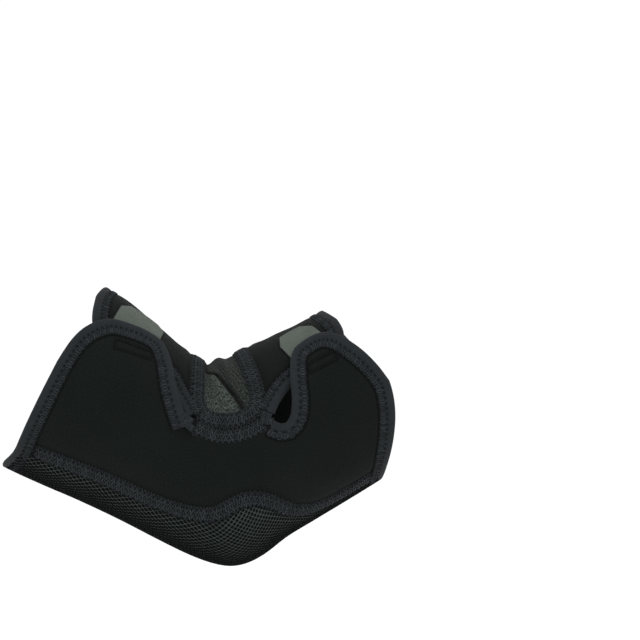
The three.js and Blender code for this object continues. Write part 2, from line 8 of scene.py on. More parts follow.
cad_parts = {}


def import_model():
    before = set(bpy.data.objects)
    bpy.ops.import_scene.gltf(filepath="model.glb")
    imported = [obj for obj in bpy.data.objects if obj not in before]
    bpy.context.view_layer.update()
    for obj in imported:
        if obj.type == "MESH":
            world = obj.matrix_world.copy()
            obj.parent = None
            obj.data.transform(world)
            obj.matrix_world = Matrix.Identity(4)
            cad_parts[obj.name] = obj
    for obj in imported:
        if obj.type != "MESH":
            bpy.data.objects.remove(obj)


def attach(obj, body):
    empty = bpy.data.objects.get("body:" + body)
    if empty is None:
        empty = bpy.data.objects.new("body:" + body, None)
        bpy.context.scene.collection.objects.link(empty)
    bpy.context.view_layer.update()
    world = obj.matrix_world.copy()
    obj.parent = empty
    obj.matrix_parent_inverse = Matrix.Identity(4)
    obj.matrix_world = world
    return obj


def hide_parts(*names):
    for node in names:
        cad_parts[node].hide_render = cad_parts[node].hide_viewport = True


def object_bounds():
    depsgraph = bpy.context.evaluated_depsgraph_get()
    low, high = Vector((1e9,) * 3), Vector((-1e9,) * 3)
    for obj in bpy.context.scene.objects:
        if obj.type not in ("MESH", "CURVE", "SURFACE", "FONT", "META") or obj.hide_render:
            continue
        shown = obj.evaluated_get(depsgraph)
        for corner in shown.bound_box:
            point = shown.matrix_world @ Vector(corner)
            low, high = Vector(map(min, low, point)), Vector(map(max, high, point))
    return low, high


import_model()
cad_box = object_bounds()

# The camera looks square at the near side from 1.2 m off, level with the hollow of the crook.
# A long lens keeps the two legs of the brace in their true proportion.
camera_data = bpy.data.cameras.new("camera")
camera_data.sensor_width = 36
camera_data.lens = 122.7
camera = bpy.data.objects.new("camera", camera_data)
camera.location = (0.0539, -1.2, 0.0814)
camera.rotation_euler = (math.radians(90), 0, 0)
bpy.context.collection.objects.link(camera)
bpy.context.scene.camera = camera

# The studio: a wide pale floor well below the brace, which an arm holds up, a white surround, and
# two large soft lamps, the stronger one high on the right and the weaker one low on the left.
bpy.context.scene.view_settings.view_transform = "Standard"
FLOOR_DROP = 0.12
floor_mesh = bmesh.new()
bmesh.ops.create_circle(floor_mesh, cap_ends=True, segments=64, radius=6)
bmesh.ops.translate(floor_mesh, verts=floor_mesh.verts[:], vec=(0, 0, cad_box[0][2] - FLOOR_DROP))
floor_data = bpy.data.meshes.new("floor")
floor_mesh.to_mesh(floor_data)
floor_mesh.free()
floor = bpy.data.objects.new("floor", floor_data)
bpy.context.collection.objects.link(floor)
paint = bpy.data.materials.new("floor_paint")
paint.use_nodes = True
paint_shader = paint.node_tree.nodes["Principled BSDF"]
paint_shader.inputs["Base Color"].default_value = (0.97, 0.97, 0.97, 1)
paint_shader.inputs["Roughness"].default_value = 0.9
floor_data.materials.append(paint)
world = bpy.data.worlds.new("surround")
world.use_nodes = True
world.node_tree.nodes["Background"].inputs["Color"].default_value = (1, 1, 1, 1)
world.node_tree.nodes["Background"].inputs["Strength"].default_value = 1.04
bpy.context.scene.world = world
LAMPS = [("key_lamp", (0.7, -1.2, 1.4), 0.8, 15), ("fill_lamp", (-1.2, -1.0, 0.2), 0.9, 3)]
for lamp_name, spot, width, power in LAMPS:
    lamp_data = bpy.data.lights.new(lamp_name, "AREA")
    lamp_data.size = width
    lamp_data.energy = power
    lamp = bpy.data.objects.new(lamp_name, lamp_data)
    lamp.location = spot
    lamp.rotation_euler = Vector(spot).to_track_quat("Z", "Y").to_euler()
    bpy.context.collection.objects.link(lamp)


# The far panel: the foam-cloth half that lies on the arm's far side and laps under the near
# panel's flaps in front. It is cut from 2.5 mm foam cloth, wrapped round the arm and sewn down.

# Pieces are laid out on the arm's skin in millimetres. A pattern point is (t, v): t is -1 at the
# upper cuff, 0 at the elbow and 1 at the forearm cuff, and v is degrees round from the front.
UPPER_LENGTH, UPPER_TILT, UPPER_DEPTH, UPPER_WIDTH = 102, 28.6, 107.5, 90
FORE_LENGTH, FORE_TILT, FORE_DEPTH, FORE_WIDTH = 81.5, 29.3, 92.5, 82
ELBOW_DEPTH, ELBOW_WIDTH = 105.5, 80
BEND_SHARE = 0.12
UPPER_REACH, FORE_REACH, FAR_TUCK = 4, 21, 5.5
SAMPLES = 240
MM = 0.001

# Columns: t, rise, lean, depth, front power, back power
SECTIONS = [
    (-1.2, 0, 1.05, 1.01, 2.1, 2),
    (-1, 0, 0.95, 1, 2.1, 2),
    (-0.84, 0.005, 0.81, 0.99, 2.1, 2),
    (-0.67, 0, 0.69, 0.957, 2.1, 2),
    (-0.47, -0.014, 0.51, 0.928, 2.1, 2),
    (-0.29, -0.026, 0.3, 0.935, 2.2, 1.95),
    (-0.15, -0.03, 0.05, 0.975, 2.3, 1.85),
    (-0.045, -0.032, -0.13, 1, 2.3, 1.8),
    (0.06, -0.022, -0.26, 1.03, 2.3, 1.8),
    (0.18, -0.018, -0.34, 1.02, 2.3, 1.85),
    (0.34, 0, -0.39, 1.005, 2.2, 1.95),
    (0.53, -0.002, -0.46, 0.995, 2.1, 2),
    (0.75, -0.003, -0.54, 0.995, 2.1, 2),
    (1, 0, -0.645, 1, 2.1, 2),
    (1.3, 0, -0.75, 0.985, 2.1, 2),
]


@functools.lru_cache(maxsize=None)
def section_at(t):
    """The arm's section at t, by cubic interpolation between the rows."""
    k = bisect.bisect_right([row[0] for row in SECTIONS], t) - 1
    k = max(0, min(k, len(SECTIONS) - 2))
    start, end = SECTIONS[k], SECTIONS[k + 1]
    before, after = SECTIONS[max(k - 1, 0)], SECTIONS[min(k + 2, len(SECTIONS) - 1)]
    step = end[0] - start[0]
    u = (t - start[0]) / step
    found = []
    for n in range(1, 6):
        slope_in = (end[n] - before[n]) / (end[0] - before[0]) * step
        slope_out = (after[n] - start[n]) / (after[0] - start[0]) * step
        found.append(
            (2 * u**3 - 3 * u**2 + 1) * start[n] + (u**3 - 2 * u**2 + u) * slope_in
            + (3 * u**2 - 2 * u**3) * end[n] + (u**3 - u**2) * slope_out
        )
    return found


@functools.lru_cache(maxsize=None)
def leg_at(t):
    """What the skin needs to know at t: centre, direction of the section, its sizes and powers."""
    rise, lean, depth, front, back = section_at(t)
    root = math.hypot(t, BEND_SHARE)
    upper, fore = (root - t) / 2, (root + t) / 2
    fore_tilt, upper_tilt = math.radians(FORE_TILT), math.radians(UPPER_TILT)
    x = math.cos(fore_tilt) * FORE_LENGTH * fore - math.cos(upper_tilt) * UPPER_LENGTH * upper
    z = math.sin(fore_tilt) * FORE_LENGTH * fore + math.sin(upper_tilt) * UPPER_LENGTH * upper
    lean *= upper_tilt if lean > 0 else fore_tilt
    end_depth, end_width = (UPPER_DEPTH, UPPER_WIDTH) if t < 0 else (FORE_DEPTH, FORE_WIDTH)
    depth *= ELBOW_DEPTH + (end_depth - ELBOW_DEPTH) * abs(t)
    width = ELBOW_WIDTH + (end_width - ELBOW_WIDTH) * abs(t)
    z += rise * ELBOW_DEPTH
    return x, z, math.sin(lean), math.cos(lean), depth / 2, width / 2, front, back


def skin(t, v):
    x, z, lean_x, lean_z, depth, width, front, back = leg_at(t)
    c, s = math.cos(math.radians(v)), math.sin(math.radians(v))
    power = front if c > 0 else back
    curve = (abs(c) ** power + abs(s) ** power) ** (-1 / power)
    out = depth * curve * c
    return Vector((x + lean_x * out, -width * curve * s, z + lean_z * out))


def slopes(p):
    """How the skin runs at a pattern point, along t and along v, and which way it faces."""
    along_t = (skin(p.x + 1e-3, p.y) - skin(p.x - 1e-3, p.y)) / 2e-3
    along_v = (skin(p.x, p.y + 0.1) - skin(p.x, p.y - 0.1)) / 0.2
    return along_t, along_v, along_v.cross(along_t).normalized()


def place(p, lift):
    return skin(p.x, p.y) + slopes(p)[2] * lift


def beside(p, way, across):
    """The pattern point across mm to the left of p, on a path that runs along way."""
    along_t, along_v, facing = slopes(p)
    run = (along_t * way.x + along_v * way.y).normalized()
    left = facing.cross(run) * across
    tt, tv, vv = along_t.dot(along_t), along_t.dot(along_v), along_v.dot(along_v)
    lt, lv = left.dot(along_t), left.dot(along_v)
    whole = tt * vv - tv * tv
    return Vector((p.x + (lt * vv - lv * tv) / whole, p.y + (lv * tt - lt * tv) / whole))


def ways(path, closed=False):
    """The way that a path runs at each of its points."""
    if closed:
        return [path[(i + 1) % len(path)] - path[i - 1] for i in range(len(path))]
    last = len(path) - 1
    return [path[min(i + 1, last)] - path[max(i - 1, 0)] for i in range(len(path))]


def offset(path, across, closed=False):
    return [beside(p, way, across) for p, way in zip(path, ways(path, closed))]


def distances(path):
    lengths, last = [0.0], place(path[0], 0)
    for p in path[1:]:
        here = place(p, 0)
        lengths.append(lengths[-1] + (here - last).length)
        last = here
    return lengths


def evenly(path, step, start=0, stop=0, closed=False):
    """A path's points again, a step apart, from start mm past its first to stop mm short of its last."""
    lengths = distances(path)
    length = lengths[-1] - start - stop
    count = max(1, round(length / step))
    points = []
    for n in range(count + 1):
        goal = start + length * n / count
        k = max(0, min(bisect.bisect_left(lengths, goal) - 1, len(path) - 2))
        share = (goal - lengths[k]) / (lengths[k + 1] - lengths[k])
        points.append(path[k].lerp(path[k + 1], share))
    return points[:-1] if closed else points


def curve_through(rows, start=0, end=None):
    """A smooth path of close points through a table's (t, v) rows, or from one row to another."""
    last = len(rows) - 1
    end = last if end is None else end
    points = []
    for i in range(SAMPLES + 1):
        at = start + (end - start) * i / SAMPLES
        k = min(int(at), last - 1)
        u = at - k
        a, b, c, d = (Vector(rows[max(0, min(k + n, last))]) for n in (-1, 0, 1, 2))
        points.append(
            b + (c - a) * (u / 2) + (a * 2 - b * 5 + c * 4 - d) * (u * u / 2)
            + (b * 3 - a - c * 3 + d) * (u**3 / 2)
        )
    return points


def smooth(x, start, end):
    u = max(0.0, min((x - start) / (end - start), 1.0))
    return u * u * (3 - 2 * u)


def upper_cuff(v):
    """The upper cuff flares out at the arm's back, where the mesh stretches."""
    flare = UPPER_REACH * smooth(abs((v + 180) % 360 - 180), 135, 172)
    return Vector((-1 - flare / UPPER_LENGTH, v))


def fore_cuff(v):
    """The forearm cuff reaches out at both sides, a little less at the far one's front."""
    reach = FORE_REACH * math.sin(math.radians(v)) ** 2
    if -115 < v < -5:
        reach -= FAR_TUCK * math.sin(math.pi * (v + 5) / 110) ** 2
    return Vector((1 + reach / FORE_LENGTH, v))


def round_cuff(cuff, start, end):
    return [cuff(start + (end - start) * i / SAMPLES) for i in range(SAMPLES + 1)]


# The edges that the far panel shares with the mesh, the knit and the cuffs, and its own flaps'
EDGE_STEP = 1.5
BACK_SEAM = [
    (-1.2, 134), (-0.94, 133.5), (-0.8, 132.5), (-0.65, 130.5), (-0.5, 128.5), (-0.35, 127),
    (-0.2, 124), (-0.08, 120), (0.03, 115), (0.12, 112.5), (0.22, 116), (0.33, 127.5),
    (0.42, 140), (0.55, 150), (0.75, 155), (1.3, 155),
]
CROOK_SEAM = [
    (-0.095, 59.5), (-0.135, 53), (-0.145, 38), (-0.17, 18), (-0.185, -6), (-0.17, -30),
    (-0.1, -49), (0.05, -57), (0.21, -52), (0.285, -34), (0.285, -8), (0.305, 16),
    (0.345, 40), (0.368, 56), (0.355, 65.5), (0.29, 68.5), (0.13, 66), (0, 62.5), (-0.095, 59.5),
]
FAR_UPPER_EDGE = [
    (-0.97, 37), (-0.93, 46.5), (-0.86, 56), (-0.7, 57.5), (-0.56, 51), (-0.46, 48),
    (-0.38, 51), (-0.33, 56), (-0.28, 60), (-0.24, 63), (-0.215, 65.5), (-0.196, 67.5),
]
FAR_FORE_EDGE = [
    (1.085, 44), (1.05, 54), (0.97, 60), (0.85, 61.5), (0.72, 61.5), (0.63, 62.5),
    (0.555, 66), (0.49, 70.5), (0.437, 76),
]
FAR_UPPER_CORNER, FAR_FORE_CORNER = 24, 32
near_seam = [
    p for p in curve_through(BACK_SEAM) if upper_cuff(p.y).x < p.x < fore_cuff(p.y).x
]
near_seam = evenly(near_seam, EDGE_STEP)
far_seam = [Vector((p.x, -p.y)) for p in near_seam]
upper_turn, fore_turn = near_seam[0].y, near_seam[-1].y
far_upper_edge = curve_through([upper_cuff(FAR_UPPER_CORNER), *FAR_UPPER_EDGE])
far_upper_edge = evenly(far_upper_edge, EDGE_STEP)
far_fore_edge = evenly(curve_through([fore_cuff(FAR_FORE_CORNER), *FAR_FORE_EDGE]), EDGE_STEP)
far_upper_cuff = evenly(round_cuff(upper_cuff, -upper_turn, FAR_UPPER_CORNER), EDGE_STEP)
far_fore_cuff = evenly(round_cuff(fore_cuff, -fore_turn, FAR_FORE_CORNER), EDGE_STEP)
far_crook = evenly(curve_through(CROOK_SEAM, 0.4, 13.2), EDGE_STEP)


CLOSEST = 0.4


def joined(*paths):
    """One path out of several, without points that lie too close together."""
    kept = []
    for p in (p for path in paths for p in path):
        if not kept or (place(p, 0) - place(kept[-1], 0)).length > CLOSEST:
            kept.append(p)
    return kept


far_outline = joined(
    far_upper_cuff, far_upper_edge, far_crook, far_fore_edge[::-1],
    far_fore_cuff[::-1], far_seam[::-1][1:-1],
)
FOAM_WALL = 2.5
CLOTH_X, CLOTH_Y = 90, 0.82  # mm of cloth to a unit of t, and to a degree


def level(p):
    return 0.0


def squares(step):
    """The cuts that divide a cloth's face into squares."""
    return [((1, 0), step), ((0, 1), step)]


def cut_cloth(outline, cuts, inner, outer, hollow_shade=level):
    """A piece of cloth cut to an outline, wrapped on the arm between two lifts off the skin.

    cuts are the ways, as flat directions, in which its face is divided, and how far apart. The last
    argument gives how dark its face is painted in its hollows, 0 to 1, as painted shade.
    """
    cloth = bmesh.new()
    corners = [cloth.verts.new((p.x * CLOTH_X, p.y * CLOTH_Y, 0)) for p in outline]
    cloth.faces.new(corners)
    for across, step in cuts:
        across = Vector((*across, 0)).normalized()
        reach = [corner.co.dot(across) for corner in corners]
        for n in range(math.ceil(min(reach) / step), math.floor(max(reach) / step) + 1):
            bmesh.ops.bisect_plane(
                cloth, geom=cloth.verts[:] + cloth.edges[:] + cloth.faces[:], dist=1e-4,
                plane_co=across * step * n, plane_no=across,
            )
    made = bmesh.ops.extrude_face_region(cloth, geom=cloth.faces[:], use_keep_orig=True)
    raised = [part for part in made["geom"] if isinstance(part, bmesh.types.BMVert)]
    bmesh.ops.translate(cloth, verts=raised, vec=(0, 0, 1))
    bmesh.ops.recalc_face_normals(cloth, faces=cloth.faces[:])
    tops = [face for face in cloth.faces if all(vert.co.z > 0.5 for vert in face.verts)]
    linings = [face for face in cloth.faces if all(vert.co.z < 0.5 for vert in face.verts)]
    chart = cloth.loops.layers.uv.new("cloth")
    hollow = cloth.verts.layers.float.new("painted_shade")
    for face in cloth.faces:
        for loop in face.loops:
            loop[chart].uv = loop.vert.co.xy * MM
    for vert in cloth.verts:
        p = Vector((vert.co.x / CLOTH_X, vert.co.y / CLOTH_Y))
        if vert.co.z > 0.5:
            vert.co = place(p, outer(p))
            # The face's colour darkens by this share: painted shade in its hollows.
            vert[hollow] = hollow_shade(p)
        else:
            vert.co = place(p, inner(p))
    bmesh.ops.recalc_face_normals(cloth, faces=cloth.faces[:])
    return cloth, tops, linings


SPOT_STEP = 0.6


def near_lines(lines):
    """Finds how far a point of the skin is from the nearest of some lines sewn on it."""
    spots = [place(p, 0) for line in lines for p in evenly(line, SPOT_STEP)]
    tree = kdtree.KDTree(len(spots))
    for i, spot in enumerate(spots):
        tree.insert(spot, i)
    tree.balance()
    return lambda p: tree.find(skin(p.x, p.y))[2]


def slack(p):
    """The low swells of foam cloth that isn't pulled quite smooth."""
    x, y = p.x * CLOTH_X, p.y * CLOTH_Y
    swell = math.sin(x / 7.3 + math.sin(y / 11) * 1.4) * math.sin(y / 9.1 + x / 23)
    return 0.22 * swell + 0.1 * math.sin(x / 3.9 - y / 5.3)


# Tapes and seams press the foam down at its edges, and a row of stitches just inside the tape
# pulls it in once more.
TAPE_WIDTH = 7.4
NEEDLE_LINE = TAPE_WIDTH + 0.5
GROOVE_DEPTH, GROOVE_WIDTH = 0.4, 0.8
# The needle groove and the pressed-down edges are darkened in the face's colour: painted shade.
GROOVE_SHADE, SHADE_WIDTH, EDGE_SHADE = 0.8, 0.7, 0.35
PRESS, PRESSED, FREE = 0.6, 5, 9
SWELL_START, SWELL_END = 8, 17
far_rows = [offset(far_upper_edge, NEEDLE_LINE), offset(far_fore_edge, -NEEDLE_LINE)]
far_stitched = near_lines(far_rows)
far_bound = near_lines([far_outline])


def pressed(distance):
    """How far cloth is pressed down at a distance from the seam or the edge that holds it."""
    return PRESS * (1 - smooth(distance, PRESSED, FREE))


def foam_face(p, stitched, bound):
    """The lift of the foam cloth's face, by its distances from the stitches and from the edge."""
    groove = GROOVE_DEPTH * math.exp(-((stitched / GROOVE_WIDTH) ** 2))
    swell = slack(p) * smooth(bound, SWELL_START, SWELL_END)
    return FOAM_WALL - groove - pressed(bound) + swell


def foam_painted_shade(stitched, bound):
    """How much painted shade darkens the foam cloth's face at those distances, 0 to 1."""
    groove = GROOVE_SHADE * math.exp(-((stitched / SHADE_WIDTH) ** 2))
    return groove + EDGE_SHADE * (1 - smooth(bound, PRESSED, FREE))


def dyed(red, green, blue):
    """A cloth's colour as it reads in daylight, 0 to 255."""
    parts = [c / 255 for c in (red, green, blue)]
    return [*(((c + 0.055) / 1.055) ** 2.4 if c > 0.04 else c / 12.92 for c in parts), 1]


class Fibre:
    """A socket of a cloth's material. Arithmetic on it adds Math nodes, and node() any other."""

    def __init__(self, socket):
        self.socket = socket

    def node(self, kind, outlet=0, values=None, **settings):
        tree = self.socket.id_data
        made = tree.nodes.new(kind)
        for name, setting in settings.items():
            setattr(made, name, setting)
        for name, value in (values or {}).items():
            if isinstance(value, Fibre):
                tree.links.new(value.socket, made.inputs[name])
            else:
                made.inputs[name].default_value = value
        return Fibre(made.outputs[outlet])

    def maths(self, operation, *others):
        values = dict(enumerate((self, *others)))
        return self.node("ShaderNodeMath", values=values, operation=operation)

    def __add__(self, other):
        return self.maths("ADD", other)

    def __sub__(self, other):
        return self.maths("SUBTRACT", other)

    def __mul__(self, other):
        return self.maths("MULTIPLY", other)


def blended(share, colour, other):
    """One colour passing into another as share goes from 0 to 1."""
    values = {0: share, 6: colour, 7: other}
    return share.node("ShaderNodeMix", outlet=2, values=values, data_type="RGBA")


def speckle(chart, size, detail=2.0):
    """Uneven spots of a size in metres, 0 to 1."""
    values = {"Vector": chart, "Scale": 1 / size, "Detail": detail}
    return chart.node("ShaderNodeTexNoise", values=values)


def new_cloth(name, roughness, sheen):
    """A material, its shader, and the cloth's own chart as two lengths in metres."""
    material = bpy.data.materials.new(name)
    material.use_nodes = True
    nodes = material.node_tree.nodes
    shader = nodes["Principled BSDF"]
    shader.inputs["Roughness"].default_value = roughness
    shader.inputs["Specular IOR Level"].default_value = 0.06
    shader.inputs["Sheen Weight"].default_value = sheen
    shader.inputs["Sheen Roughness"].default_value = 0.6
    chart = Fibre(nodes.new("ShaderNodeTexCoord").outputs["UV"])
    along = chart.node("ShaderNodeSeparateXYZ", values={0: chart})
    across = Fibre(along.socket.node.outputs[1])
    return material, shader, chart, along, across


def with_painted_shade(colour, share, shade_colour):
    """A colour that passes into a darker one, as painted shade, in the hollows that the mesh marks."""
    shade_amount = share.node("ShaderNodeAttribute", outlet="Fac", attribute_name="painted_shade")
    return blended(shade_amount, colour, shade_colour)


def finish_cloth(shader, colour, height, depth):
    """Gives a shader its colour, and its relief in metres."""
    links = shader.id_data.links
    links.new(colour.socket, shader.inputs["Base Color"])
    relief = height.node(
        "ShaderNodeBump", values={"Height": height, "Distance": depth, "Strength": 1.0}
    )
    links.new(relief.socket, shader.inputs["Normal"])


def waves(length, size):
    """A round wave along a length, 0 to 1, size metres from crest to crest."""
    return (length * (math.tau / size)).maths("SINE") * 0.5 + 0.5


# Foam cloth: a close black jersey face with fine rows of loops, a little uneven in shade
foam, foam_shader, chart, along, across = new_cloth("foam_cloth", 0.88, 0.02)
jersey = waves(along, 0.0011) * waves(across, 0.0008)
fluff = speckle(chart, 0.0007)
shade = speckle(chart, 0.03, 3.0) * 0.4 + (fluff * 3 - 1) * 0.45 + jersey * 0.15
# Near the needle grooves and the pressed edges the face passes into near-black: painted shade.
face = with_painted_shade(blended(shade, dyed(3, 6, 5), dyed(19, 24, 22)), shade, dyed(3, 4, 4))
finish_cloth(foam_shader, face, jersey + fluff * 0.8, 0.00018)


def sew_on(name, cloth, material, slot, *nodes):
    """Makes a piece of a mesh in millimetres, and sets it in the frame in place of its CAD nodes."""
    bmesh.ops.scale(cloth, vec=(MM, MM, MM), verts=cloth.verts[:])
    data = bpy.data.meshes.new(name)
    cloth.to_mesh(data)
    cloth.free()
    data.polygons.foreach_set("use_smooth", [True] * len(data.polygons))
    data.materials.append(material)
    piece = bpy.data.objects.new(name, data)
    bpy.context.collection.objects.link(piece)
    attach(piece, "root")
    if nodes:
        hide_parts(*nodes)
    return piece


far_cloth, _, _ = cut_cloth(
    far_outline, squares(1.5), level,
    lambda p: foam_face(p, far_stitched(p), far_bound(p)),
    lambda p: foam_painted_shade(far_stitched(p), far_bound(p)),
)
far_panel = sew_on("far_panel_cloth", far_cloth, foam, "foam_cloth", "far_panel")


# The near panel: the other foam-cloth half, whose two front flaps lap over the far panel. Its
# face is plain between the stitched boxes that hold the tabs and the sewn edges.
NEAR_UPPER_EDGE = [
    (-0.985, 65), (-0.945, 55), (-0.86, 45.5), (-0.74, 39.5), (-0.63, 35.5), (-0.54, 34),
    (-0.475, 37), (-0.4, 45), (-0.35, 53), (-0.295, 60), (-0.24, 66), (-0.2, 71.5),
]
NEAR_FORE_EDGE = [
    (1.225, 80), (1.175, 69), (1.11, 59), (1.05, 51.5), (0.97, 46), (0.89, 44), (0.8, 44.5),
    (0.73, 46.5), (0.68, 53.5), (0.645, 65), (0.62, 74), (0.58, 81.5), (0.53, 84.5), (0.48, 83),
    (0.44, 79.5),
]
NEAR_UPPER_CORNER, NEAR_FORE_CORNER = 78, 92
near_upper_edge = curve_through([upper_cuff(NEAR_UPPER_CORNER), *NEAR_UPPER_EDGE])
near_upper_edge = evenly(near_upper_edge, EDGE_STEP)
near_fore_edge = evenly(curve_through([fore_cuff(NEAR_FORE_CORNER), *NEAR_FORE_EDGE]), EDGE_STEP)
near_upper_cuff = evenly(round_cuff(upper_cuff, NEAR_UPPER_CORNER, upper_turn), EDGE_STEP)
near_fore_cuff = evenly(round_cuff(fore_cuff, NEAR_FORE_CORNER, fore_turn), EDGE_STEP)
near_crook = evenly(curve_through(CROOK_SEAM, 13.6, 18), EDGE_STEP)
near_outline = joined(
    near_upper_cuff[::-1], near_upper_edge, near_crook[::-1], near_fore_edge[::-1],
    near_fore_cuff, near_seam[::-1][1:-1],
)

# The flaps ride over the far panel, a tab and the tape, and come down round the arm's side.
TAB_WALL, TAPE_WALL, CLEARANCE = 1, 0.5, 0.4
FLAP_RISE = FOAM_WALL + TAB_WALL + TAPE_WALL + 3 * CLEARANCE
RISES = [(-0.12, -0.42, 59, 89), (0.42, 0.62, 65, 95)]  # down and up in t, front and side in v


def flap_rise(p):
    if p.y > 180:
        return 0.0
    return sum(
        FLAP_RISE * smooth((p.x - down) / (up - down), 0, 1) * (1 - smooth(p.y, front, side))
        for down, up, front, side in RISES
    )


STITCH_BOXES = {
    "upper": [(-0.77, 53), (-0.54, 45.5), (-0.54, 50.5), (-0.755, 58), (-0.77, 53)],
    "fore": [(0.785, 59.5), (0.98, 60), (1.0, 65.5), (0.785, 65), (0.785, 59.5)],
}
box_rows = [[Vector(corner) for corner in box] for box in STITCH_BOXES.values()]
near_rows = [
    offset(near_upper_edge, -NEEDLE_LINE),
    offset(near_fore_edge, NEEDLE_LINE),
    offset(near_upper_cuff, NEEDLE_LINE),
    offset(near_fore_cuff, -NEEDLE_LINE),
    *box_rows,
]
near_stitched = near_lines(near_rows)
near_bound = near_lines([near_outline])
near_cloth, _, _ = cut_cloth(
    near_outline, squares(0.9), flap_rise,
    lambda p: flap_rise(p) + foam_face(p, near_stitched(p), near_bound(p)),
    lambda p: foam_painted_shade(near_stitched(p), near_bound(p)),
)
near_panel = sew_on("near_panel_cloth", near_cloth, foam, "foam_cloth", "near_panel")


# The back mesh: a stretch spacer mesh that runs down the back of both legs and over the elbow's
# point. Its knitted face is pierced by rows of small holes on the slant, over a dark ground whose
# near-black colour in the holes is painted shade.
MESH_WALL = 2.5
MESH_PITCH = 2.05
SMALLEST_CELL = 0.6 * 0.8 * MESH_PITCH**2  # smaller cells, cut by the edge, stay whole
HOLE_RIM, HOLE_TAPER, HOLE_DEPTH = 0.35, 0.1, 0.5
PORE_PITCH = MESH_PITCH * 1.414 * MM
FULL_TURN = 360


def wrapped(path):
    return [Vector((p.x, p.y + FULL_TURN)) for p in path]


back_upper_cuff = evenly(round_cuff(upper_cuff, upper_turn, FULL_TURN - upper_turn), EDGE_STEP)
back_fore_cuff = evenly(round_cuff(fore_cuff, fore_turn, FULL_TURN - fore_turn), EDGE_STEP)
mesh_outline = joined(
    near_seam, back_fore_cuff[1:-1], wrapped(far_seam)[::-1], back_upper_cuff[::-1][1:-1],
)
slants = [((1, 1), MESH_PITCH), ((1, -1), MESH_PITCH)]
mesh_bound = near_lines([near_seam, wrapped(far_seam)])


def mesh_face(p):
    return MESH_WALL - pressed(mesh_bound(p))


mesh_cloth, mesh_tops, mesh_linings = cut_cloth(mesh_outline, slants, level, mesh_face)
cells = [face for face in mesh_tops if len(face.verts) == 4 and face.calc_area() > SMALLEST_CELL]
bmesh.ops.inset_individual(
    mesh_cloth, faces=cells, thickness=HOLE_RIM, depth=0, use_even_offset=True
)
sides = bmesh.ops.inset_individual(
    mesh_cloth, faces=cells, thickness=HOLE_TAPER, depth=-HOLE_DEPTH, use_even_offset=True
)
# The holes' floors and walls take the near-black colour: painted shade in the holes.
for face in cells + sides["faces"]:
    face.material_index = 1
for face in mesh_linings:
    face.material_index = 2
mesh_yarn, mesh_shader, chart, along, across = new_cloth("mesh_cloth", 0.8, 0.02)
yarn = waves(along + across, 0.0006) * waves(along - across, 0.0006)
shade = speckle(chart, 0.012) * 0.5 + speckle(chart, 0.0009) * 0.3 + yarn * 0.2
finish_cloth(mesh_shader, blended(shade, dyed(34, 39, 37), dyed(74, 82, 79)), yarn, 0.00015)
# The holes' colour: near-black, painted shade in the holes.
mesh_hole_shade, hole_shade_shader, chart, along, across = new_cloth("mesh_hole_shade", 0.9, 0.0)
shade = speckle(chart, 0.0009)
finish_cloth(hole_shade_shader, blended(shade, dyed(1, 2, 2), dyed(9, 11, 10)), shade, 0.0001)
back_mesh = sew_on("back_mesh_cloth", mesh_cloth, mesh_yarn, "mesh_cloth", "back_mesh")
back_mesh.data.materials.append(mesh_hole_shade)
mesh_inside, inside_shader, chart, along, across = new_cloth("mesh_inside", 0.9, 0.0)
# Dark dots at the holes' pitch are painted shade of holes; the same pattern gives small bumps.
pores_and_shade = waves(along + across, PORE_PITCH) * waves(along - across, PORE_PITCH)
finish_cloth(inside_shader, blended(pores_and_shade, dyed(34, 38, 36), dyed(8, 10, 9)), pores_and_shade * -1, 0.0003)
back_mesh.data.materials.append(mesh_inside)


# The crook knit: a soft ribbed knit let in at the inside of the elbow. It gathers into one plump
# fold on the upper arm's side that overhangs a deep crease, and a ribbed one on the forearm's.
KNIT_WALL = 1.4
FOLD_RISE = 4.2
# Columns: the crest's t at the front and at the side, its width, its height at the front and side
FOLDS = [(-0.075, 0.075, 0.07, 0.02, 0.75), (0.08, 0.235, 0.055, 0.45, 0.9)]
CREASE = [(-30, -0.3), (24.5, -0.06), (34.5, 0.08), (45, 0.15), (54, 0.205), (70, 0.27)]
FOLD_FADE, RIB_FADE = (4, 14), (2, 5)  # mm from the border
FOLD_TURN = (8, 38)  # degrees from the front over which a fold swells to its side's height
PLUMP_HEIGHT, PLUMP_BACK, PLUMP_WIDTH = 0.35, 0.06, 0.05
CREASE_DEPTH, CREASE_WIDTH = 0.62, 0.02
RIB_SLANT, RIB_PITCH, RIB_HEIGHT = 0.0048, 0.027, 0.34
PURL_PITCH, PURL_HEIGHT = 1.1, 0.16
# The least painted shade over the ribbed fold, and the most, in the crease and between the ribs
LEAST_FOLD_SHADE, MOST_FOLD_SHADE = 0.45, 0.9
knit_outline = offset(evenly(curve_through(CROOK_SEAM), EDGE_STEP, closed=True), -0.2, True)
knit_bound = near_lines([knit_outline + knit_outline[:1]])


def crease_at(v):
    for (low, start), (high, end) in zip(CREASE, CREASE[1:]):
        if v <= high:
            return start + (end - start) * (v - low) / (high - low)
    return CREASE[-1][1]


def fold_face(p):
    fade = smooth(knit_bound(p), *FOLD_FADE)
    height = max(
        (low + (tall - low) * smooth(abs(p.y), *FOLD_TURN))
        * math.exp(-(((p.x - (front + (side - front) * abs(p.y) / 45)) / wide) ** 2))
        for front, side, wide, low, tall in FOLDS
    )
    gap = p.x - crease_at(p.y)
    plump = PLUMP_HEIGHT * math.exp(-(((gap + PLUMP_BACK) / PLUMP_WIDTH) ** 2))
    crease = CREASE_DEPTH * math.exp(-((gap / CREASE_WIDTH) ** 2))
    crease *= smooth(gap, -CREASE_WIDTH, CREASE_WIDTH / 10)
    return FOLD_RISE * max(height + plump - crease, 0) * fade


def rib_turns(p):
    return (p.x - RIB_SLANT * p.y) / RIB_PITCH


